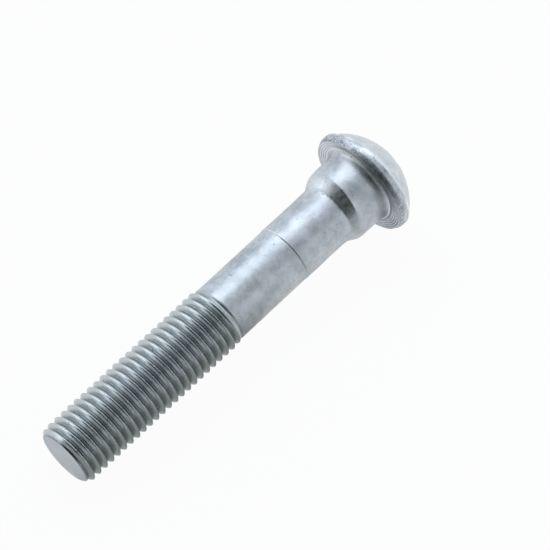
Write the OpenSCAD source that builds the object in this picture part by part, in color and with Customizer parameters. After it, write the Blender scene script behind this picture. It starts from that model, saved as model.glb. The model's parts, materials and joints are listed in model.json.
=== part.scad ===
// Cup head bolt with an oval neck: domed head, oval neck on a conical shoulder,
// plain shank and a right-hand rolled thread. One forged piece, lying on its side
// as it comes to rest on the rim of the head and on the first crest of the thread.

/* [Thread] */
// Diameter over the crests of the thread
thread_d = 19.8; // [19.2:0.1:22]
// Pitch of the single right-hand helix
thread_pitch = 2.5; // [2:0.25:3]
// Length of whole thread, from the end face
thread_len = 58; // [30:1:76]
// Length over which the thread fades out into the shank
runout_len = 4; // [2:0.5:8]
// Width of the flat on top of each crest
crest_flat = 0.55; // [0.3:0.05:0.8]
// Width of the flat at the bottom of each groove
root_flat = 0.4; // [0.2:0.05:0.6]
// Angle between the two flanks of a groove
flank_angle = 60; // [55:1:70]
// Diameter of the flat end face
end_d = 17.2; // [15:0.1:18]
// Angle of the bevel round the end face, from the bolt's axis
end_bevel = 45; // [30:1:60]
// Distance from the end face to the first whole crest on the underside
first_crest = 2.75; // [2.5:0.05:5]

/* [Shank] */
// Length from the end face to the underside of the head
bolt_len = 118.5; // [100:0.5:160]
// Diameter of the shank beside the thread
shank_d = 18.35; // [17.8:0.05:19]
// Diameter of the shank above the die line
upper_d = 18.55; // [18.4:0.05:19.4]
// Distance from the underside of the head to the die line round the shank
die_line = 31.4; // [18:0.2:40]

/* [Neck] */
// Width of the oval neck across its two lobes
neck_major = 23.8; // [23:0.1:28]
// Width of the oval neck across its two flanks
neck_minor = 22; // [20:0.1:22.8]
// Length of the neck with its shoulder
neck_len = 12.7; // [10:0.1:16]
// Angle of the conical shoulder, from the bolt's axis
shoulder_angle = 36; // [25:1:45]
// Turn of the lobes about the bolt's axis, from upright
neck_turn = 12; // [-90:1:90]

/* [Head] */
// Largest diameter of the head, over its rim
head_d = 34; // [31:0.2:40]
// Height of the head above its underside
head_h = 12; // [10:0.2:15]
// Thickness of the rim, from the underside to the edge of the dome
rim_t = 3.3; // [2.4:0.1:4]
// Radius of the rounded rim, seen in section
rim_round = 2.1; // [1.9:0.1:3.6]

/* [Hidden] */
$fn = 96;

crest_r = thread_d / 2;
end_r = end_d / 2;
shank_r = shank_d / 2;
upper_r = upper_d / 2;
head_r = head_d / 2;

// Thread: a trapezoid groove whose depth follows from its widths and flank angle
flank = (thread_pitch - crest_flat - root_flat) / 2;
thread_depth = flank / tan(flank_angle / 2);
thread_end = thread_len + runout_len;
// The helix is built with this many sides, lies on one of them and starts this far before the end face
helix_sides = 32;
lead_in_turns = 2;
helix_start = first_crest - lead_in_turns * thread_pitch;
helix_turns = ceil((thread_end - helix_start) / thread_pitch) + 1;
helix_rows = helix_turns * helix_sides;
helix_side_rise = thread_pitch / helix_sides;
helix_side_r = crest_r * cos(180 / helix_sides);
// Faded out, the thread is a stub that sits this far inside the shank
stub_inset = 0.06;
stub_r = shank_r - stub_inset;
// The solid that trims the thread's end stands this far clear of the crests and the stub
trim_margin = 1;
trim_r = crest_r + trim_margin;
trim_top = helix_start + (helix_turns + 1) * thread_pitch + trim_margin;

// Shank and neck
die_z = bolt_len - die_line;
neck_z = bolt_len - neck_len;
neck_points = 96;

// Head: the dome is the sphere through its apex and the upper edge of the rim
rim_centre_r = head_r - rim_round;
rim_edge_r = rim_centre_r + sqrt(pow(rim_round, 2) - pow(rim_t / 2, 2));
dome_h = head_h - rim_t;
dome_r = (pow(rim_edge_r, 2) + pow(dome_h, 2)) / (2 * dome_h);
dome_z = head_h - dome_r;
// The seam of its round faces is turned this far from the line that it rests on
seam_turn = 45;

// Rest: the axis slopes up from the lowest side of the first crest to the rounded rim
crest_rest_z = first_crest - crest_flat / 2 - helix_side_rise / 2;
rest_span = bolt_len + rim_t / 2 - crest_rest_z;
rest_rise = rim_centre_r - helix_side_r;
axis_slope = atan2(rest_rise, rest_span) + asin(rim_round / norm([rest_span, rest_rise]));
axis_height = helix_side_r * cos(axis_slope) - crest_rest_z * sin(axis_slope);
low_x = -end_r * sin(axis_slope);
high_x = (bolt_len + dome_z) * cos(axis_slope) + dome_r;
middle_x = (low_x + high_x) / 2;

// Profile of one pitch of the thread: distance along the axis and depth below the crest
groove = [
    [-crest_flat / 2, 0],
    [crest_flat / 2, 0],
    [crest_flat / 2 + flank, thread_depth],
    [thread_pitch - crest_flat / 2 - flank, thread_depth]
];
corners = len(groove);

// Share of the thread's height that is left at a place along the axis
function thread_share(z) = min(1, max(0, (thread_end - z) / runout_len));

// Point of the helix on one of its rows, at one corner of the profile
function helix_point(row, corner) =
    let (
        turn = 360 * (row + 0.5) / helix_sides,
        z = helix_start + helix_side_rise * (row + 0.5) + corner[0],
        r = stub_r + (crest_r - corner[1] - stub_r) * thread_share(z)
    )
    [r * cos(turn), r * sin(turn), z];

// Index of a point: the last corner of a row is the first corner one turn further on
function helix_index(row, k) = k < corners ? corners * row + k : corners * (row + helix_sides);

// Threaded stretch as one closed helical skin, with a fan of triangles over each end
module helix() {
    last_row = helix_rows + helix_sides;
    low_tip = corners * (last_row + 1);
    high_tip = low_tip + 1;
    points = concat(
        [for (row = [0 : last_row]) for (corner = groove) helix_point(row, corner)],
        [[0, 0, helix_start], [0, 0, helix_start + (helix_turns + 1) * thread_pitch]]
    );
    skin = [
        for (row = [0 : helix_rows - 1]) for (k = [0 : corners - 1])
            let (
                a = helix_index(row, k),
                b = helix_index(row, k + 1),
                c = helix_index(row + 1, k + 1),
                d = helix_index(row + 1, k)
            )
            each [[a, b, c], [a, c, d]]
    ];
    low_end = concat(
        [for (i = [0 : helix_sides - 1]) [low_tip, helix_index(i, 0), helix_index(i + 1, 0)]],
        [for (k = [0 : corners - 1]) [low_tip, helix_index(0, k + 1), helix_index(0, k)]]
    );
    high_end = concat(
        [for (i = [helix_rows : last_row - 1]) [high_tip, helix_index(i + 1, 0), helix_index(i, 0)]],
        [for (k = [0 : corners - 1]) [high_tip, helix_index(helix_rows, k), helix_index(helix_rows, k + 1)]]
    );
    polyhedron(points, concat(skin, low_end, high_end), convexity = 10);
}

// Helix trimmed to a flat end face with a bevel round it
module thread() {
    intersection() {
        helix();
        rotate_extrude()
            polygon([
                [0, 0],
                [end_r, 0],
                [trim_r, (trim_r - end_r) / tan(end_bevel)],
                [trim_r, trim_top],
                [0, trim_top]
            ]);
    }
}

// Plain shank, a shade thicker above the die line
module shank() {
    translate([0, 0, thread_end]) cylinder(r = shank_r, h = die_z - thread_end);
    translate([0, 0, die_z]) cylinder(r = upper_r, h = bolt_len - die_z);
}

// Oval prism that a cone trims to a shoulder, with a crescent edge on each lobe
module neck() {
    translate([0, 0, neck_z])
        intersection() {
            rotate(-neck_turn)
                linear_extrude(neck_len)
                    polygon([
                        for (i = [0 : neck_points - 1])
                            let (turn = 360 * i / neck_points)
                            [neck_major / 2 * cos(turn), neck_minor / 2 * sin(turn)]
                    ]);
            cylinder(r1 = upper_r, r2 = upper_r + neck_len * tan(shoulder_angle), h = neck_len);
        }
}

// Half section of the head, from its underside up: spherical dome on a rounded rim
module head_section() {
    intersection() {
        translate([0, dome_z]) circle(dome_r);
        translate([0, rim_t]) square([head_r, dome_h]);
    }
    square([rim_centre_r, rim_t]);
    intersection() {
        translate([rim_centre_r, rim_t / 2]) circle(rim_round);
        translate([rim_centre_r, 0]) square([rim_round, rim_t]);
    }
}

module head() {
    translate([0, 0, bolt_len]) rotate(seam_turn) rotate_extrude() head_section();
}

// Whole bolt, laid along X with the head at +X
module bolt() {
    color([0.67, 0.69, 0.71])
        translate([-middle_x, 0, axis_height])
            rotate([0, 90 - axis_slope, 0]) {
                thread();
                shank();
                neck();
                head();
            }
}

bolt();
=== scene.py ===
"""Cup head bolt with an oval neck, dipped in zinc: the finished surface and the studio it is shown in."""

import json
import math

import bpy
import numpy as np
from bpy.props import FloatProperty, FloatVectorProperty, PointerProperty
from bpy.types import Operator, Panel, PropertyGroup
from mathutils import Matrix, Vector


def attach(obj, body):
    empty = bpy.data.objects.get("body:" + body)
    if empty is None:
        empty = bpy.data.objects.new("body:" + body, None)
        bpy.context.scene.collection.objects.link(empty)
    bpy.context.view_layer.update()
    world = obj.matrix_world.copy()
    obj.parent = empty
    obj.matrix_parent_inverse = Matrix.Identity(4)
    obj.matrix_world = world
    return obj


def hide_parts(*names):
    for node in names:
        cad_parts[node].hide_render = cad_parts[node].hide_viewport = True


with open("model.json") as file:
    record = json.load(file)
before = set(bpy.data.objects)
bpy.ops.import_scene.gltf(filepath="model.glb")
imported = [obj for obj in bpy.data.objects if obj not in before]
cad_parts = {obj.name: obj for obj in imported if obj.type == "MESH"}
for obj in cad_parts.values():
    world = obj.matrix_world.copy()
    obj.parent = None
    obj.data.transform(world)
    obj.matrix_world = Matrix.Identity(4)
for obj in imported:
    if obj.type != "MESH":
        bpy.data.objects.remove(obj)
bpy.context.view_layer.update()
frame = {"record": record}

bl_info = {
    "name": "Cup Head Bolt",
    "version": (1, 0, 0),
    "blender": (4, 5, 0),
    "location": "3D View > Sidebar > Bolt",
    "description": "Builds a zinc-dipped cup head bolt with an oval neck, and a studio to show it in",
    "category": "Add Mesh",
}

MM = 0.001

# The bolt's axis and main lengths, from the mounts of the packed record
MOUNTS = {mount["name"]: mount for mount in frame["record"]["mounts"]}
AXIS = -Vector(MOUNTS["bearing_face"]["axis"]).normalized()
SIDE = Vector((0, 1, 0))
DOWN = SIDE.cross(AXIS)
THREAD_LENGTH = MOUNTS["thread"]["dims"]["length_mm"] * MM
CREST_RADIUS = MOUNTS["thread"]["dims"]["r_mm"] * MM
NECK_LENGTH = MOUNTS["oval_neck"]["dims"]["length_mm"] * MM
END_POINT = Vector(MOUNTS["thread"]["pos_m"]) - AXIS * THREAD_LENGTH / 2
BOLT_LENGTH = (Vector(MOUNTS["bearing_face"]["pos_m"]) - END_POINT).dot(AXIS)

# Grid of the bolt's skin: columns round the axis, which are twice as many on the head
COLUMNS = 120
HEAD_COLUMNS = 2 * COLUMNS

# Rows of the grid: across one pitch, along the shank and neck, and on each part of the head
ROWS_PER_PITCH = 16
LOWER_SHANK_ROWS = 24
DIE_LINE_ROWS = 14
UPPER_SHANK_ROWS = 18
SHOULDER_ROWS = 46
NECK_ROWS = 10
FILLET_ROWS = 13
FLAT_ROWS = 47
RIM_ROWS = 33
DOME_ROWS = 34

# Distance from the helix to the first ring of the shank
JOIN_GAP = 0.3 * MM

# Places on the skin that the material treats in their own way, kept as attributes; some carry painted shade
# or painted highlights
MARKS = ("thread", "groove", "face", "ring", "flash", "bead", "crown")

# Uneven places: the size of the waves in them, and the seed of the waves' headings and phases
UNEVEN = {
    "crest": (7 * MM, 11),
    "shank": (9 * MM, 23),
    "ring wander": (9 * MM, 29),
    "ring strength": (7 * MM, 30),
    "fine flash": (1.1 * MM, 31),
    "coarse flash": (5 * MM, 37),
    "bead": (6 * MM, 38),
    "dome": (8 * MM, 41),
}

# Drops of zinc on the dome
DROP_COUNT = 9
DROP_SEED = 43

# Colours of the lamps and the room, and of the floor and of the painted shade on it, as they are seen in
# the metal
WHITE = (1, 1, 1)
FAINTLY_COOL = (0.88, 0.93, 1)
COOL = (0.80, 0.885, 1)
BRIGHT_FLOOR = (0.92, 0.96, 1)
PAINTED_SHADE_PATCH = (0.31, 0.33, 0.32)
DARK_ROOM = (0.045, 0.055, 0.05)

# Lamps: heading and height in degrees, distance, width and height in metres, power in watts, colour
LAMPS = {
    "overhead_lamp": (150, 57, 1.1, 0.9, 0.7, 2.75, COOL),
    "side_lamp": (18, 35, 1.2, 0.9, 0.6, 0.6, WHITE),
    "strip_lamp": (78, 27, 1.2, 1.3, 0.18, 1.5, FAINTLY_COOL),
    "low_lamp": (-133, 14, 1.2, 0.9, 0.5, 1.6, FAINTLY_COOL),
}

# Dark parts of the room: a heading, and the cosines of the angles where the dark is full and where it ends
DARK_SIDES = (
    ((-0.8, -0.35, 0.5), 0.77, 0.46),
    ((0.60, -0.50, 0.62), 0.97, 0.915),
    ((0.62, -0.72, 0.33), 0.988, 0.955),
)


def length(name, description, default):
    """A size in metres that a user may change."""
    return FloatProperty(
        name=name, description=description, default=default, unit="LENGTH", precision=5
    )


def angle(name, description, degrees):
    """An angle that a user may change, written here in degrees."""
    return FloatProperty(
        name=name, description=description, default=math.radians(degrees), subtype="ANGLE"
    )


def colour(name, description, default):
    """A colour that a user may change."""
    return FloatVectorProperty(
        name=name, description=description, default=default, size=3, min=0, max=1, subtype="COLOR"
    )


def factor(name, description, default):
    """A plain number that a user may change."""
    return FloatProperty(name=name, description=description, default=default, min=0)


class BOLT_PG_thread(PropertyGroup):
    """Sizes of the rolled thread and the end face."""

    crest_radius: length("Crest Radius", "Radius over the crests", CREST_RADIUS)
    pitch: length("Pitch", "Advance of the right-hand helix in one turn", 2.5 * MM)
    depth: length("Depth", "Depth of the groove below the crests", 1.33 * MM)
    crest_flat: length("Crest Flat", "Width of a crest before it is rounded", 0.06 * MM)
    root_flat: length("Root Flat", "Width of a groove's bottom before it is rounded", 0.2 * MM)
    crest_round: length("Crest Round", "Rounding of the crests", 0.4 * MM)
    root_round: length("Root Round", "Rounding of the roots", 0.14 * MM)
    whole_length: length("Length", "Length of whole thread from the end face", THREAD_LENGTH)
    runout: length("Run-out", "Length over which the thread fades into the shank", 4 * MM)
    first_crest: length("First Crest", "Distance of the first whole crest from the end face", 2.75 * MM)
    seam_depth: length("Seam Depth", "Depth of the fold that rolling leaves along the crest", 0.015 * MM)
    seam_width: length("Seam Width", "Half width of that fold", 0.13 * MM)
    wander: length("Wander", "Unevenness of the crests", 0.02 * MM)
    end_radius: length("End Radius", "Radius of the flat end face", 8.3 * MM)
    end_bevel: angle("End Bevel", "Angle of the bevel round the end face, from the axis", 45)
    end_edge: length("End Edge", "Rounding of the end face's edge", 0.2 * MM)


class BOLT_PG_shank(PropertyGroup):
    """Sizes of the plain shank."""

    radius: length("Radius", "Radius beside the thread", 9.175 * MM)
    upper_radius: length("Upper Radius", "Radius above the die line", 9.275 * MM)
    die_line: length("Die Line", "Distance of the die line from the underside of the head", 31.4 * MM)
    die_edge: length("Die Edge", "Half width of the step at the die line", 0.12 * MM)
    die_lip: length("Die Lip", "Height of the lip and depth of the groove at the die line", 0.03 * MM)
    # That side of the lip is also painted bright, partly as wear and partly as a painted highlight
    lip_turn: angle("Lip Turn", "Place round the axis where that lip is high and worn", 136)
    lip_spread: angle("Lip Spread", "Half width of the worn lip round the axis", 30)
    lump: length("Lumps", "Height of the uneven zinc", 0.025 * MM)


class BOLT_PG_neck(PropertyGroup):
    """Sizes of the oval neck and its conical shoulder."""

    major_radius: length("Major Radius", "Half width across the lobes", 11.9 * MM)
    minor_radius: length("Minor Radius", "Half width across the flanks", 11.0 * MM)
    whole_length: length("Length", "Length with the shoulder", NECK_LENGTH)
    shoulder: angle("Shoulder", "Angle of the conical shoulder, from the axis", 36)
    turn: angle("Turn", "Turn of the lobes about the axis, from upright", 12)
    edge: length("Edge", "Rounding of the crescent edge on the lobes", 0.12 * MM)
    soft_edge: length("Soft Edge", "Rounding of the edge away from the crescents", 0.9 * MM)
    crescent_turn: angle("Crescent Turn", "Place of a crescent round the axis, from upright", 21.6)
    crescent_reach: angle("Crescent Reach", "Half of the turn over which a crescent is crisp", 20)
    crescent_fade: angle("Crescent Fade", "Turn over which a crescent fades at its tips", 22)
    root: length("Root", "Rounding where the shoulder meets the shank", 0.3 * MM)
    pool: length("Pool", "How far zinc in its corner lowers the shoulder's foot", 1.6 * MM)
    pool_turn: angle("Pool Turn", "Place of that zinc round the axis", 290)
    pool_spread: angle("Pool Spread", "Half width of that zinc round the axis", 32)
    swell: length("Swell", "Zinc that swells the neck on the other side", 0.3 * MM)
    swell_turn: angle("Swell Turn", "Place of the swelling round the axis", 112)
    # The rough zinc there is also painted bright, as a painted highlight
    crust_turn: angle("Crust Turn", "Place round the axis where the zinc on the shoulder is rough", 142)
    crust_spread: angle("Crust Spread", "Half width of that rough zinc round the axis", 26)
    fillet: length("Fillet", "Width of the fillet under the head, where it is widest", 1.9 * MM)
    fillet_height: length("Fillet Height", "Height of that fillet along the axis", 3.4 * MM)


class BOLT_PG_head(PropertyGroup):
    """Sizes of the domed head."""

    radius: length("Radius", "Largest radius, over the rim", 16.92 * MM)
    height: length("Height", "Height above the underside", 12 * MM)
    rim: length("Rim", "Thickness of the rim, up to the edge of the dome", 2.8 * MM)
    face_radius: length("Face Radius", "Radius of the flat underside", 16.2 * MM)
    dome_radius: length("Dome Radius", "Radius of the foot of the dome, on top of the rim", 16.75 * MM)
    flash: length("Flash", "Depth of the rough flash round the rim", 0.04 * MM)
    clean_turn: angle("Clean Turn", "Place round the axis where the rim has little flash", 212)
    bead: length("Bead", "Height of the bead along the top of the rim", 0.12 * MM)
    step: length("Step", "Height of the step round the fillet's edge", 0.14 * MM)
    # Where painted shade darkens the fillet's corner, and how far round the axis it spreads
    fillet_shade_turn: angle("Stain Turn", "Place round the axis where the fillet is stained", 248)
    fillet_shade_spread: angle("Stain Spread", "Half width of that stain round the axis", 34)
    drop: length("Drop", "How far the underside's outer edge hangs below its middle", 0.4 * MM)
    ring_pitch: length("Ring Pitch", "Distance between the rings on the underside", 0.7 * MM)
    ring_height: length("Ring Height", "Height of the rings on the underside", 0.06 * MM)
    lump: length("Lumps", "Height of the uneven zinc on the dome", 0.12 * MM)


class BOLT_PG_finish(PropertyGroup):
    """Colours, grain and gloss of the zinc."""

    pale: colour("Pale Zinc", "Colour of the bright patches", (0.635, 0.655, 0.66))
    # The dull colour also darkens the end face, partly as painted shade
    dull: colour("Dull Zinc", "Colour of the dull patches and the end face", (0.455, 0.475, 0.48))
    rolled: colour("Thread Zinc", "Colour of the thinner zinc on the thread", (0.58, 0.61, 0.595))
    # The bright colour also paints highlights: on the die lip, the shoulder, the fillet's edge, the flat,
    # the rim's bead and the dome
    bright: colour("Bright Zinc", "Colour of worn edges and flecks", (0.95, 0.965, 0.97))
    # The pit colour also paints shade: in the thread's roots, on the underside's circles, beside and in the
    # fillet, and on the rim's lower part
    pit: colour("Pits", "Colour of the small pits and of grime", (0.10, 0.11, 0.12))
    cloud_size: length("Clouds", "Size of the soft clouds in the zinc", 5 * MM)
    spangle_size: length("Spangle", "Size of the crystals in the zinc", 1.5 * MM)
    grain_size: length("Grain", "Size of the fine grain", 0.5 * MM)
    pit_spacing: length("Pit Spacing", "Size of the noise whose peaks are pits", 1.1 * MM)
    relief: length("Relief", "Height that a bump of 1 stands for", 1 * MM)
    gloss: factor("Roughness", "Mean roughness of the zinc", 0.40)
    metal: factor("Metal", "Share of metal in the shading", 1.0)


class BOLT_PG_stage(PropertyGroup):
    """Studio round the bolt."""

    floor: colour("Floor", "Colour of the floor", (0.86, 0.86, 0.86))
    floor_half: length("Floor Half Width", "Half of the floor's width", 4.0)
    azimuth: angle("Azimuth", "Heading of the camera: 0 looks along +Y", -45.853)
    elevation: angle("Elevation", "Height of the camera above the horizon", 58.99)
    distance: length("Distance", "Distance of the camera from its aim", 855.77 * MM)
    lens: FloatProperty(name="Lens", description="Focal length in millimetres", default=197.5)
    aim: FloatVectorProperty(
        name="Aim",
        description="Point that the camera looks at",
        default=(16.115 * MM, -2.286 * MM, 13.669 * MM),
        size=3,
        unit="LENGTH",
    )


def rising(x, rounding):
    """Smooth form of max(x, 0): half of x plus the root of x squared plus rounding squared."""
    return 0.5 * (x + np.sqrt(x * x + rounding * rounding))


def lesser(a, b, rounding):
    """Smooth lesser of two surfaces, rounded where they cross."""
    return a - rising(a - b, rounding)


def greater(a, b, rounding):
    """Smooth greater of two surfaces, rounded where they cross."""
    return b + rising(a - b, rounding)


def ease(x):
    """Smooth step from 0 to 1: three x squared less two x cubed."""
    x = np.clip(x, 0, 1)
    return x * x * (3 - 2 * x)


def bell(x):
    """Bell that is 1 at 0: e to the minus x squared."""
    return np.exp(-x * x)


def near_turn(turn, middle, spread):
    """Bell over turns about the axis, by the gap from its middle over its spread."""
    return bell(np.angle(np.exp(1j * (turn - middle))) / spread)


def shares(rows):
    """Column of even steps up to 1, with the 0 before them left to the ring that they go on from."""
    return np.linspace(0, 1, rows + 1)[1:, None]


def waves(points, field, count=40):
    """Smooth random field of unit spread: a sum of plane waves with seeded headings and phases."""
    size, seed = UNEVEN[field]
    chance = np.random.default_rng(seed)
    headings = chance.normal(size=(count, 3))
    phases = chance.uniform(0, 2 * np.pi, count)
    turns = points @ headings.T * (2 * np.pi / size / math.sqrt(3))
    return np.cos(turns + phases).sum(-1) * math.sqrt(2 / count)


def around(radius, turn, along):
    """Points at a radius and turn about the bolt's axis, a distance along it: turn 0 points down."""
    return np.stack([radius * np.cos(turn), radius * np.sin(turn), along + 0 * turn], -1)


def thread_height(phase, thread):
    """Share of the groove's depth that is filled, over one pitch from -0.5 to 0.5.

    Straight flanks fall from a round crest to a tighter root: a smooth max and a smooth limit, scaled to 1.
    """
    flank = (thread.pitch - thread.crest_flat - thread.root_flat) / 2
    past_crest = np.abs(phase) * thread.pitch - thread.crest_flat / 2
    fall = rising(past_crest / flank, thread.crest_round / flank)
    fall = lesser(fall, 1.0, thread.root_round / flank)
    return (fall.max() - fall) / np.ptp(fall)


def thread_skin(thread, shank):
    """Helical skin of the end face, the thread and its run-out, with its marks and its number of turns.

    Row i lies at turn 2 pi i / COLUMNS, and along the axis at pitch times (i / COLUMNS + phase k).
    The phases go from -0.5 to 0.5 and crowd a little at 0, which is the crest.
    The radius is the crest's less the groove, no more than the bevel, and fades into the shank.
    Before the end face the helix goes on as a flat spiral that nearly reaches the middle of that face.
    """
    lead_turns = 3
    crowding = 0.2
    spiral_reach = 0.97
    start = thread.first_crest - lead_turns * thread.pitch
    top = thread.whole_length + thread.runout
    turns = math.ceil((top - start) / thread.pitch) + 1
    step = np.arange((turns + 1) * COLUMNS + 1)[:, None]
    share = np.arange(ROWS_PER_PITCH)[None, :] / ROWS_PER_PITCH
    phase = share - 0.5 + crowding * np.sin(2 * np.pi * share) / (2 * np.pi)
    turn = 2 * np.pi * step / COLUMNS + 0 * phase
    run = start + thread.pitch * (step / COLUMNS + phase)

    filled = thread_height(phase, thread)
    seam = thread.seam_depth * bell(phase * thread.pitch / thread.seam_width)
    uneven = thread.wander * waves(around(thread.crest_radius, turn, run), "crest")
    radius = thread.crest_radius - thread.depth * (1 - filled) - seam + uneven * filled
    left = ease((top - run) / thread.runout)
    radius = shank.radius + (radius - shank.radius) * left

    bevel = thread.end_radius + rising(run, thread.end_edge) * math.tan(thread.end_bevel)
    radius = lesser(radius, bevel, thread.end_edge)
    face = ease(-run / (2 * thread.end_edge))
    spiral = spiral_reach * thread.end_radius / (0.5 * thread.pitch - start)
    radius = radius + (thread.end_radius - radius) * face - spiral * rising(-run, thread.end_edge)
    along = rising(run, thread.end_edge) * (1 - face)
    rolled = left * (1 - face)
    # The groove mark paints shade into the thread's roots
    marks = {"thread": rolled, "groove": (1 - filled) ** 4 * rolled, "face": face}
    return around(radius, turn, along), marks, turns


def oval(turn, neck):
    """Radius of the oval neck at a turn: an ellipse in polar form."""
    from_lobe = turn + neck.turn
    major = np.cos(from_lobe) / neck.major_radius
    minor = np.sin(from_lobe) / neck.minor_radius
    return 1 / np.sqrt(major**2 + minor**2)


def crescent(turn, neck):
    """Share of a crescent at a turn: 1 about the middle of each lobe's edge, eased to 0 beside it."""
    gap = np.abs(np.angle(np.exp(2j * (turn - neck.crescent_turn)))) / 2
    return 1 - ease((gap - neck.crescent_reach) / neck.crescent_fade)


def neck_radius(turn, along, shank, neck):
    """Radius of the neck: the greater of the shank and the lesser of the shoulder's cone and the oval.

    Zinc lowers the foot of the cone on one side, and less so on the other, where it swells the oval.
    """
    lesser_pool = 0.45
    foot = BOLT_LENGTH - neck.whole_length
    pool = near_turn(turn, neck.pool_turn, neck.pool_spread)
    swell = near_turn(turn, neck.swell_turn, neck.pool_spread)
    lowered = neck.pool * (pool + lesser_pool * swell)
    cone = shank.upper_radius + (along - foot + lowered) * math.tan(neck.shoulder)
    edge = neck.edge + (neck.soft_edge - neck.edge) * (1 - crescent(turn, neck))
    wall = lesser(cone, oval(turn, neck) + neck.swell * swell, edge)
    return greater(shank.upper_radius + 0 * turn, wall, neck.root * (1 + pool))


def shank_and_neck(turn, start, shank, neck):
    """Rings from the run-out to the fillet under the head, with their marks.

    The radius is a step at the die line, with a lip and a groove that are bells beside it, then the neck.
    The lip is higher on one side and painted bright there, as wear and as a painted highlight, and one side
    of the shoulder has rough zinc that is painted bright as a painted highlight.
    """
    margin = 0.8 * MM
    lower_fade = 3 * MM
    upper_fade = 2 * MM
    worn_height = 1.5
    crust_strength = 0.55
    die = BOLT_LENGTH - shank.die_line
    foot = BOLT_LENGTH - neck.whole_length - neck.pool
    reach = (neck.major_radius - shank.upper_radius) / math.tan(neck.shoulder) + neck.pool
    top = BOLT_LENGTH - neck.fillet_height
    stretches = (
        (start, die - margin, LOWER_SHANK_ROWS),
        (die - margin, die + margin, DIE_LINE_ROWS),
        (die + margin, foot - margin, UPPER_SHANK_ROWS),
        (foot - margin, foot + reach + margin, SHOULDER_ROWS),
        (foot + reach + margin, top, NECK_ROWS),
    )
    along = [np.linspace(low, high, rows, endpoint=False) for low, high, rows in stretches]
    along = np.append(np.concatenate(along), top)[:, None]

    place = (along - die) / shank.die_edge
    ridge = bell(place - 2)
    worn_and_lit = near_turn(turn, shank.lip_turn, shank.lip_spread)
    lip = shank.die_lip * (ridge * (1 + worn_height * worn_and_lit) - bell(place + 1))
    step = (shank.upper_radius - shank.radius) * ease(0.5 * place + 0.5)
    plain = shank.radius + step + lip
    blend = ease((along - foot + 2 * margin) / margin)
    radius = plain + (neck_radius(turn, along, shank, neck) - plain) * blend
    fade = ease((along - start) / lower_fade) * ease((top - along) / upper_fade)
    lumps = shank.lump * waves(around(radius, turn, along), "shank") * fade

    on_shoulder = bell((along - foot) / (0.5 * reach) - 1)
    # The shoulder's rough zinc, painted bright on one side as a painted highlight
    crust_and_sheen = crust_strength * on_shoulder * near_turn(turn, neck.crust_turn, neck.crust_spread)
    # The die lip's bright bead is partly wear and partly a painted highlight
    return around(radius + lumps, turn, along), {"bead": ridge * worn_and_lit + crust_and_sheen, "flash": crust_and_sheen}


def underside(turn, shank, neck, head):
    """Rings of the fillet and of the flat under the head, with their marks.

    The fillet is a quarter of an ellipse swept round the neck, narrower by the pool of zinc, and lower by
    a step at its edge. The flat drops evenly to the rim and carries raised circles: a cosine of the
    distance from the rim, which wanders a little, to the fourth power. Painted shade darkens the circles,
    a band beside the fillet that stands for the step's shadow, and the fillet's corner on one side. A
    painted highlight brightens the fillet's edge, and painted light brightens the flat between the circles
    on one side.
    """
    most_narrowing = 0.6
    rim_margin = 0.25 * MM
    fillet_margin = 0.3 * MM
    step_width = 0.2 * MM
    ring_wander = 0.12
    fillet_shade_strength = 0.6
    edge_sheen_strength = 0.6
    flat_sheen_strength = 0.45
    fillet_shade_swing = 0.62
    fillet_shade_width = 0.5
    edge_sheen_width = 0.25

    swing = np.pi / 2 * shares(FILLET_ROWS)
    wall = neck_radius(turn, BOLT_LENGTH - neck.fillet_height, shank, neck)
    narrowing = most_narrowing * near_turn(turn, neck.pool_turn, 1.4 * neck.pool_spread)
    width = neck.fillet * (1 - narrowing)
    fillet_r = wall + width * (1 - np.cos(swing))
    fillet_z = BOLT_LENGTH - neck.fillet_height * (1 - np.sin(swing)) - head.step * np.sin(swing) ** 2

    share = shares(FLAT_ROWS)
    inner = wall + width
    flat_r = inner + (head.face_radius - inner) * share
    from_edge = head.face_radius - flat_r
    from_fillet = flat_r - inner
    place = around(flat_r, turn, 0 * flat_r)
    phase = from_edge / head.ring_pitch + ring_wander * waves(place, "ring wander")
    inside = ease(from_edge / rim_margin) * ease(from_fillet / fillet_margin)
    strong_side = 0.6 + 0.4 * near_turn(turn, neck.pool_turn, 1.2)
    strength = np.clip(0.95 + 0.25 * waves(place, "ring strength"), 0.5, 1.2) * strong_side
    # The circles are painted dark: painted shade along them
    cut = np.cos(np.pi * phase) ** 4 * inside * strength
    below = head.step * (1 - ease(from_fillet / step_width)) + head.drop * share
    flat_z = BOLT_LENGTH + head.ring_height * (cut - 0.5 * inside) - below

    fillet_shaded_side = near_turn(turn, head.fillet_shade_turn, head.fillet_shade_spread)
    edge_sheen_side = 1 - 0.8 * near_turn(turn, head.clean_turn, 0.6)
    flat_sheen_side = near_turn(turn, neck.swell_turn, 0.9)
    # Painted shade in the fillet's corner on one side
    fillet_shade = fillet_shade_strength * bell((swing - fillet_shade_swing) / fillet_shade_width) * fillet_shaded_side
    # Painted highlight along the fillet's edge
    worn_and_lit = edge_sheen_strength * bell((swing - np.pi / 2) / edge_sheen_width) * edge_sheen_side
    # Painted shadow of the step, in a band beside the fillet
    step_shadow = bell(from_fillet / fillet_margin - 1) * near_turn(turn, neck.pool_turn, 1)
    # Painted light: the flat is brighter between the circles on one side
    flat_sheen = flat_sheen_strength * (1 - np.clip(cut, 0, 1)) * inside * flat_sheen_side
    marks = {
        "ring": np.concatenate([fillet_shade, np.maximum(cut, step_shadow)]),
        "bead": np.concatenate([worn_and_lit, flat_sheen]),
    }
    return np.concatenate([around(fillet_r, turn, fillet_z), around(flat_r, turn, flat_z)]), marks


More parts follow.
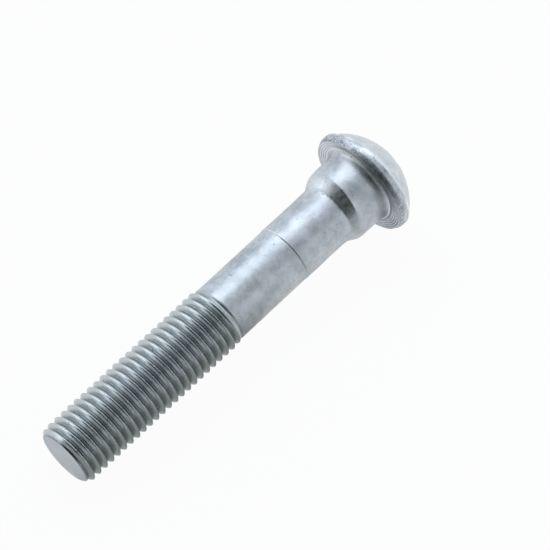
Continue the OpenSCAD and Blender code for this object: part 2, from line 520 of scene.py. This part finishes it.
def rim_skin(turn, head):
    """Rings of the rim, with their marks.

    In section it is a straight line from the underside to the dome, bulged by a sine. Flash roughens
    it, less so on one side, painted shade darkens its lower part, and a bead runs along its top, painted
    bright as wear and as a painted highlight.
    """
    flash_rise = 0.15
    flash_end = 0.85
    flash_fade = 0.2
    bead_width = 0.18
    lower_shade_to = 0.3
    lower_shade_fade = 0.35
    lower_shade_strength = 0.45

    share = shares(RIM_ROWS)
    straight = head.face_radius + (head.dome_radius - head.face_radius) * share
    bulge = head.radius - 0.5 * (head.face_radius + head.dome_radius)
    radius = straight + bulge * np.sin(np.pi * share)
    along = BOLT_LENGTH - head.drop + (head.rim + head.drop) * share
    points = around(radius, turn, along)
    rough = 0.6 * waves(points, "fine flash") + 0.5 * waves(points, "coarse flash")
    rough_side = 1 - 0.8 * near_turn(turn, head.clean_turn, 0.9)
    belt = ease(share / flash_rise) * ease((flash_end - share) / flash_fade) * rough_side
    bitten = head.flash * np.clip(1 + rough, 0, 3) * belt
    # The bead is painted bright, as wear and as a painted highlight
    bead = bell((share - 1) / bead_width) * np.clip(0.8 + 0.4 * waves(points, "bead"), 0.2, 1.4)
    # Painted shade on the rim's lower part
    lower_shade = lower_shade_strength * (1 - ease((share - lower_shade_to) / lower_shade_fade))
    marks = {"ring": lower_shade, "flash": belt, "bead": bead}
    return around(radius - bitten + head.bead * bead, turn, along), marks


def dome_lumps(skin, sphere, head):
    """Height of the zinc over the sphere: soft waves that mostly lie below it, and a few low drops."""
    chance = np.random.default_rng(DROP_SEED)
    heading = chance.uniform(0, 2 * np.pi, DROP_COUNT)
    tilt = chance.uniform(0.15, 0.8, DROP_COUNT)
    size = chance.uniform(0.8, 1.5, DROP_COUNT) * MM
    drops = around(sphere * np.sin(tilt), heading, sphere * np.cos(tilt))
    gap = np.linalg.norm(skin[..., None, :] - drops, axis=-1)
    soft = 0.35 * waves(skin, "dome") - 1
    return head.lump * (soft + bell(gap / size).sum(-1))


def dome_skin(turn, head):
    """Rings of the dome up to just short of its apex, with their marks, and the apex.

    They lie on the sphere through the rim's upper edge and the apex, moved in or out by lumps of zinc that
    fade at the dome's foot. A painted highlight brightens the foot, going on from the rim's bead, and the
    whole dome is painted lighter with bright spangle, partly the zinc's own spangle and partly painted
    light.
    """
    row_spacing = 0.9
    lump_fade = 0.04
    foot_width = 0.8 * MM
    rise = head.height - head.rim
    sphere = (head.dome_radius**2 + rise**2) / (2 * rise)
    widest = math.asin(head.dome_radius / sphere)
    polar = widest * (1 - shares(DOME_ROWS + 1)[:-1] ** row_spacing)
    skin = around(sphere * np.sin(polar), turn, sphere * np.cos(polar))
    lumps = dome_lumps(skin, sphere, head) * ease((widest - polar) / lump_fade)
    skin = skin * (1 + lumps / sphere)[..., None]
    apex = np.array([[0, 0, sphere]])
    apex = apex * (1 + dome_lumps(apex, sphere, head) / sphere)[:, None]
    centre = np.array([0, 0, BOLT_LENGTH + head.height - sphere])
    # Painted highlight along the dome's foot, going on from the rim's bead
    foot = bell(sphere * (widest - polar) / foot_width)
    return skin + centre, {"bead": foot, "crown": 1.0}, apex + centre


def ring_quads(rows, columns, first):
    """Quads between neighbouring rings of points, whose first index is given."""
    row = np.arange(rows - 1)[:, None] * columns + first
    here = row + np.arange(columns)
    after = row + (np.arange(columns) + 1) % columns
    return np.stack([here, after, after + columns, here + columns], -1).reshape(-1, 4)


def helix_quads(turns):
    """Quads of the helical skin: the last row of a pitch joins the first row one turn further on."""
    step = np.arange(turns * COLUMNS)[:, None]
    k = np.arange(ROWS_PER_PITCH)[None, :]
    low = step * ROWS_PER_PITCH + k
    last = (step + COLUMNS) * ROWS_PER_PITCH
    high = np.where(k + 1 < ROWS_PER_PITCH, low + 1, last)
    beside = ROWS_PER_PITCH
    return np.stack([low, low + beside, high + beside, high], -1).reshape(-1, 4)


def fan(tip, low, high):
    """Triangles from one tip to the two ends of each step along an edge."""
    return np.stack([np.full(len(low), tip), low, high], -1)


def bolt_faces(turns, body_rows, head_rows):
    """Quads and triangles of the whole skin: its stretches, and the stitches between them.

    The points come in this order: helix, shank and neck, head, middle of the end face, apex. The helix's
    first turn closes on that middle and its last turn on the shank, the neck's last ring meets twice as
    many columns on the head, and the dome's last ring closes on the apex.
    """
    body_at = ((turns + 1) * COLUMNS + 1) * ROWS_PER_PITCH
    head_at = body_at + body_rows * COLUMNS
    middle_at = head_at + head_rows * HEAD_COLUMNS
    apex_at = middle_at + 1
    body_top = head_at - COLUMNS
    dome_top = middle_at - HEAD_COLUMNS

    column = np.arange(COLUMNS)
    after = (column + 1) % COLUMNS
    head_column = np.arange(HEAD_COLUMNS)
    head_after = (head_column + 1) % HEAD_COLUMNS
    first_loop = column * ROWS_PER_PITCH
    first_seam = np.append(np.arange(ROWS_PER_PITCH), COLUMNS * ROWS_PER_PITCH)
    last_loop = (turns * COLUMNS + np.arange(COLUMNS + 1)) * ROWS_PER_PITCH
    last_seam = np.append(last_loop[0] + np.arange(ROWS_PER_PITCH), [last_loop[-1], body_at])
    even = head_at + 2 * column
    quads = np.concatenate([
        helix_quads(turns),
        np.stack([last_loop[1:-1], last_loop[2:], body_at + after[1:], body_at + column[1:]], -1),
        ring_quads(body_rows, COLUMNS, body_at),
        np.stack([body_top + column, body_top + after, head_at + 2 * after, even + 1], -1),
        ring_quads(head_rows, HEAD_COLUMNS, head_at),
    ])
    triangles = np.concatenate([
        fan(middle_at, first_loop + ROWS_PER_PITCH, first_loop),
        fan(middle_at, first_seam[:-1], first_seam[1:]),
        fan(last_loop[1], last_seam[1:], last_seam[:-1]),
        [[last_loop[1], body_at + 1, body_at]],
        np.stack([body_top + column, even + 1, even], -1),
        fan(apex_at, dome_top + head_column, dome_top + head_after),
    ])
    return quads, triangles


def bolt_mesh(scene):
    """One closed skin, from the middle of the end face to the apex, with the marks as its attributes."""
    thread, shank, neck, head = scene.bolt_thread, scene.bolt_shank, scene.bolt_neck, scene.bolt_head
    turn = 2 * np.pi * np.arange(COLUMNS)[None, :] / COLUMNS
    head_turn = 2 * np.pi * np.arange(HEAD_COLUMNS)[None, :] / HEAD_COLUMNS
    helix, helix_marks, turns = thread_skin(thread, shank)
    body, body_marks = shank_and_neck(turn, helix[-1, -1, 2] + JOIN_GAP, shank, neck)
    under, under_marks = underside(head_turn, shank, neck, head)
    rim, rim_marks = rim_skin(head_turn, head)
    dome, dome_marks, apex = dome_skin(head_turn, head)
    middle = np.array([[0, 0, helix[0, 0, 2]]])
    blocks = (
        (helix, helix_marks),
        (body, body_marks),
        (under, under_marks),
        (rim, rim_marks),
        (dome, dome_marks),
        (middle, {"face": 1.0}),
        (apex, {"crown": 1.0}),
    )
    points = np.concatenate([block.reshape(-1, 3) for block, marks in blocks])
    quads, triangles = bolt_faces(turns, len(body), len(under) + len(rim) + len(dome))
    used = np.unique(np.concatenate([quads.ravel(), triangles.ravel()]))
    renumber = np.zeros(len(points), int)
    renumber[used] = np.arange(len(used))
    placed = np.array(END_POINT) + points[used] @ np.array([DOWN, SIDE, AXIS])

    mesh = bpy.data.meshes.new("galvanised_bolt")
    mesh.from_pydata(placed.tolist(), [], renumber[quads].tolist() + renumber[triangles].tolist())
    for name in MARKS:
        values = np.concatenate([
            np.broadcast_to(marks.get(name, 0.0), block.shape[:-1]).ravel() for block, marks in blocks
        ])
        attribute = mesh.attributes.new(name, "FLOAT", "POINT")
        attribute.data.foreach_set("value", values[used].astype(np.float32))
    mesh.polygons.foreach_set("use_smooth", np.ones(len(mesh.polygons), bool))
    mesh.update()
    return mesh


class Socket:
    """A shader value: operators between sockets and numbers add Math nodes."""

    def __init__(self, shader, socket):
        self.shader = shader
        self.socket = socket

    def math(self, operation, first, second):
        return self.shader.add("ShaderNodeMath", {"operation": operation}, {0: first, 1: second})

    def __add__(self, other):
        return self.math("ADD", self, other)

    def __radd__(self, other):
        return self.math("ADD", other, self)

    def __sub__(self, other):
        return self.math("SUBTRACT", self, other)

    def __rsub__(self, other):
        return self.math("SUBTRACT", other, self)

    def __mul__(self, other):
        return self.math("MULTIPLY", self, other)

    def __rmul__(self, other):
        return self.math("MULTIPLY", other, self)


class Shader:
    """A node tree, to which one method adds every node."""

    def __init__(self, tree):
        self.tree = tree
        tree.nodes.clear()

    def add(self, kind, settings, inputs, output=0):
        """Adds a node with its settings first, then its values and links, and gives one of its outputs."""
        node = self.tree.nodes.new(kind)
        for name, value in settings.items():
            setattr(node, name, value)
        for name, value in inputs.items():
            if isinstance(value, Socket):
                self.tree.links.new(value.socket, node.inputs[name])
            else:
                node.inputs[name].default_value = value
        return Socket(self, node.outputs[output]) if node.outputs else None

    def noise(self, where, size, detail, roughness):
        """Noise from 0 to 1 whose features are about the given size in metres."""
        return self.add(
            "ShaderNodeTexNoise",
            {},
            {"Vector": where, "Scale": 1 / size, "Detail": detail, "Roughness": roughness},
        )

    def ramp(self, value, low, high):
        """Smooth rise from 0 to 1 as a value goes from low to high."""
        return self.add(
            "ShaderNodeMapRange",
            {"interpolation_type": "SMOOTHSTEP"},
            {"Value": value, "From Min": low, "From Max": high},
        )

    def mix(self, share, first, second):
        """Colour between two colours, each a link or three numbers."""
        first, second = (
            shade if isinstance(shade, Socket) else (*shade, 1) for shade in (first, second)
        )
        return self.add(
            "ShaderNodeMix", {"data_type": "RGBA"}, {"Factor": share, 6: first, 7: second}, output=2
        )


def zinc_material(finish):
    """Dull zinc dip: soft mottle in colour and gloss, small pits, and flecks in the rough flash.

    The marks add layers of tone over the mottle, from the thread's own to the pits on top. Some of them
    paint light: painted shade in the thread's roots, on the underside's circles, beside and in the fillet,
    on the rim's lower part and partly on the end face, and painted highlights on the die lip, the shoulder,
    the fillet's edge, the flat, the rim's bead and the dome.
    """
    material = bpy.data.materials.new("zinc_dip")
    material.use_nodes = True
    shader = Shader(material.node_tree)
    place = shader.add("ShaderNodeTexCoord", {}, {}, output="Object")
    thread, groove, face, ring, flash, bead, crown = (
        shader.add("ShaderNodeAttribute", {"attribute_name": name}, {}, output="Fac") for name in MARKS
    )
    clouds = shader.noise(place, finish.cloud_size, 3.0, 0.5)
    spangle = shader.noise(place, finish.spangle_size, 4.0, 0.6)
    grain = shader.noise(place, finish.grain_size, 3.0, 0.6)
    pit = shader.ramp(shader.noise(place, finish.pit_spacing, 2.0, 0.6), 0.68, 0.74)
    mottle = shader.ramp(clouds * 0.5 + spangle * 0.5, 0.36, 0.64)
    patch = shader.ramp(clouds * 0.6 + spangle * 0.4, 0.42, 0.56)
    speck = shader.ramp(grain * 0.35 + spangle * 0.65, 0.47, 0.55) * flash * patch
    fleck = shader.ramp(spangle * 0.6 - grain * 0.4, 0.06, 0.14) * flash

    # Layers of tone from the lowest up, each with how far it covers what lies under it; several are painted
    # shade or painted highlights
    layers = (
        (thread * 0.8, finish.rolled),
        # Painted shade in the thread's roots
        (groove * 0.75, finish.pit),
        # End face: duller cut zinc, and partly painted shade for the shadowed floor that it reflects
        (face * 0.6, finish.dull),
        # Painted shade: the underside's circles, the step's shadow beside the fillet, the fillet's corner
        # on one side and the rim's lower part
        (ring * 0.85, finish.pit),
        (fleck * 0.8, finish.bright),
        (speck * 0.85, finish.pit),
        # The dome is painted lighter with bright spangle, partly the zinc's own spangle and partly painted
        # light
        (crown * (0.1 + spangle * 0.45), finish.bright),
        # Painted highlights and some wear: die lip, rough shoulder, fillet's edge, one side of the flat,
        # rim's bead, dome's foot
        (bead * 0.9, finish.bright),
        (pit * 0.6, finish.pit),
    )
    tone = shader.mix(mottle, finish.dull, finish.pale)
    for share, layer in layers:
        tone = shader.mix(share, tone, layer)
    roughness = finish.gloss + (spangle - 0.5) * 0.35 - thread * 0.14 - (bead + crown) * 0.06
    height = clouds * 0.16 + spangle * 0.08 + grain * 0.012 - pit * 0.06
    height = height + flash * (grain * 0.10 + spangle * 0.08) + crown * grain * 0.03
    height = height * (1 - face * 0.9 - thread * 0.5)
    bump = shader.add(
        "ShaderNodeBump",
        {},
        {"Strength": 0.6, "Distance": finish.relief, "Height": height},
        output="Normal",
    )
    surface = shader.add(
        "ShaderNodeBsdfPrincipled",
        {},
        {"Base Color": tone, "Metallic": finish.metal, "Roughness": roughness, "Normal": bump},
    )
    shader.add("ShaderNodeOutputMaterial", {}, {"Surface": surface})
    return material


class BOLT_OT_bolt(Operator):
    """Builds the zinc-dipped bolt in place of the plain solid"""

    bl_idname = "bolt.make_bolt"
    bl_label = "Make Bolt"

    def execute(self, context):
        mesh = bolt_mesh(context.scene)
        if not mesh.polygons:
            raise RuntimeError("the bolt's skin has no faces")
        mesh.materials.append(zinc_material(context.scene.bolt_finish))
        bolt = bpy.data.objects.new("galvanised_bolt", mesh)
        context.scene.collection.objects.link(bolt)
        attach(bolt, "root")
        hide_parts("bolt")
        return {"FINISHED"}


def floor_material(stage):
    """Pale matt floor that keeps the bolt's shadow, faint to the camera and deeper in the metal.

    A dark patch of painted shade lies in its glow beside the thread, on the camera's side, and is seen only
    in the metal.
    """
    camera_share = 0.95
    metal_share = 0.8
    slant = 0.35
    material = bpy.data.materials.new("studio_floor")
    material.use_nodes = True
    shader = Shader(material.node_tree)
    matt = shader.add("ShaderNodeBsdfDiffuse", {}, {"Color": (*stage.floor, 1)})
    camera = shader.add("ShaderNodeLightPath", {}, {}, output="Is Camera Ray")
    glossy = shader.add("ShaderNodeLightPath", {}, {}, output="Is Glossy Ray")
    through = shader.add("ShaderNodeLightPath", {}, {}, output="Is Transmission Ray")
    place = shader.add("ShaderNodeTexCoord", {}, {}, output="Object")
    x = shader.add("ShaderNodeSeparateXYZ", {}, {0: place}, output="X")
    y = shader.add("ShaderNodeSeparateXYZ", {}, {0: place}, output="Y")
    # Painted shade: a dark patch in the floor's glow beside the thread, seen only in the metal
    near_side = 1 - shader.ramp(y, -14 * MM, 1 * MM)
    by_thread = 1 - shader.ramp(x + y * slant, -10 * MM, 15 * MM)
    shade = shader.mix(near_side * by_thread, BRIGHT_FLOOR, PAINTED_SHADE_PATCH)
    glow = shader.mix(1 - camera, WHITE, shade)
    lit = shader.add("ShaderNodeEmission", {}, {"Color": glow, "Strength": 1.0})
    share = camera * camera_share + (glossy + through) * metal_share
    both = shader.add("ShaderNodeMixShader", {}, {0: share, 1: matt, 2: lit})
    shader.add("ShaderNodeOutputMaterial", {}, {"Surface": both})
    return material


def studio_world(world):
    """Soft bright room, a little brighter behind the bolt, with dark sides that the metal reflects."""
    world.use_nodes = True
    shader = Shader(world.node_tree)
    heading = shader.add("ShaderNodeTexCoord", {}, {}, output="Generated")
    sideways = shader.add("ShaderNodeSeparateXYZ", {}, {0: heading}, output="Y")
    front_level = 0.93
    behind_gain = 0.1
    level = front_level + behind_gain * shader.ramp(sideways, 0.2, 0.9)
    for side, darkest, end in DARK_SIDES:
        facing = shader.add(
            "ShaderNodeVectorMath",
            {"operation": "DOT_PRODUCT"},
            {0: heading, 1: Vector(side).normalized()},
            output="Value",
        )
        level = level * (1 - shader.ramp(facing, end, darkest))
    tint = shader.mix(level, DARK_ROOM, COOL)
    room = shader.add("ShaderNodeBackground", {}, {"Color": tint, "Strength": 1.0})
    shader.add("ShaderNodeOutputWorld", {}, {"Surface": room})


def aim_at(obj, azimuth, elevation, distance, point):
    """Puts an object at a heading, height and distance from a point, and turns it to face that point."""
    level = math.cos(elevation)
    back = Vector((math.sin(azimuth) * level, -math.cos(azimuth) * level, math.sin(elevation)))
    obj.location = point + back * distance
    obj.rotation_euler = (-back).to_track_quat("-Z", "Y").to_euler()


def softbox(name, azimuth, elevation, distance, width, height, power, tint):
    """Rectangular lamp that faces the bolt from a heading and height, given in degrees."""
    data = bpy.data.lights.new(name, "AREA")
    data.shape = "RECTANGLE"
    data.size = width
    data.size_y = height
    data.energy = power
    data.color = tint
    lamp = bpy.data.objects.new(name, data)
    aim_at(lamp, math.radians(azimuth), math.radians(elevation), distance, Vector())
    lamp.visible_camera = False
    return lamp


class BOLT_OT_stage(Operator):
    """Builds the floor, the lamps, the room and the camera"""

    bl_idname = "bolt.make_stage"
    bl_label = "Make Stage"

    def execute(self, context):
        scene = context.scene
        stage = scene.bolt_stage
        half = stage.floor_half
        corners = [(-half, -half, 0), (half, -half, 0), (half, half, 0), (-half, half, 0)]
        mesh = bpy.data.meshes.new("studio_floor")
        mesh.from_pydata(corners, [], [(0, 1, 2, 3)])
        mesh.materials.append(floor_material(stage))
        floor = bpy.data.objects.new("studio_floor", mesh)
        scene.collection.objects.link(floor)

        scene.world = scene.world or bpy.data.worlds.new("studio")
        studio_world(scene.world)
        for name, settings in LAMPS.items():
            scene.collection.objects.link(softbox(name, *settings))

        data = bpy.data.cameras.new("camera")
        data.lens = stage.lens
        data.sensor_width = 36
        data.clip_start = 0.01
        camera = bpy.data.objects.new("camera", data)
        aim_at(camera, stage.azimuth, stage.elevation, stage.distance, Vector(stage.aim))
        scene.collection.objects.link(camera)
        scene.camera = camera
        scene.view_settings.view_transform = "Standard"
        return {"FINISHED"}


class BOLT_PT_panel(Panel):
    """Sizes, finish and stage of the bolt"""

    bl_idname = "BOLT_PT_panel"
    bl_label = "Cup Head Bolt"
    bl_space_type = "VIEW_3D"
    bl_region_type = "UI"
    bl_category = "Bolt"

    def draw(self, context):
        for name, group in GROUPS.items():
            box = self.layout.box()
            box.label(text=group.__doc__)
            settings = getattr(context.scene, name)
            for field in group.__annotations__:
                box.prop(settings, field)
        for operator in OPERATORS:
            self.layout.operator(operator.bl_idname)


GROUPS = {
    "bolt_thread": BOLT_PG_thread,
    "bolt_shank": BOLT_PG_shank,
    "bolt_neck": BOLT_PG_neck,
    "bolt_head": BOLT_PG_head,
    "bolt_finish": BOLT_PG_finish,
    "bolt_stage": BOLT_PG_stage,
}
OPERATORS = (BOLT_OT_stage, BOLT_OT_bolt)


def register():
    """Registers the classes and hangs each group of settings on the scene."""
    for cls in (*GROUPS.values(), *OPERATORS, BOLT_PT_panel):
        bpy.utils.register_class(cls)
    for name, group in GROUPS.items():
        setattr(bpy.types.Scene, name, PointerProperty(type=group))


def unregister():
    """Takes the settings off the scene and the classes out again."""
    for name in GROUPS:
        delattr(bpy.types.Scene, name)
    for cls in (BOLT_PT_panel, *OPERATORS, *GROUPS.values()):
        bpy.utils.unregister_class(cls)


def main():
    """Builds the stage and the bolt."""
    register()
    bpy.ops.bolt.make_stage()
    bpy.ops.bolt.make_bolt()


if __name__ == "__main__":
    main()
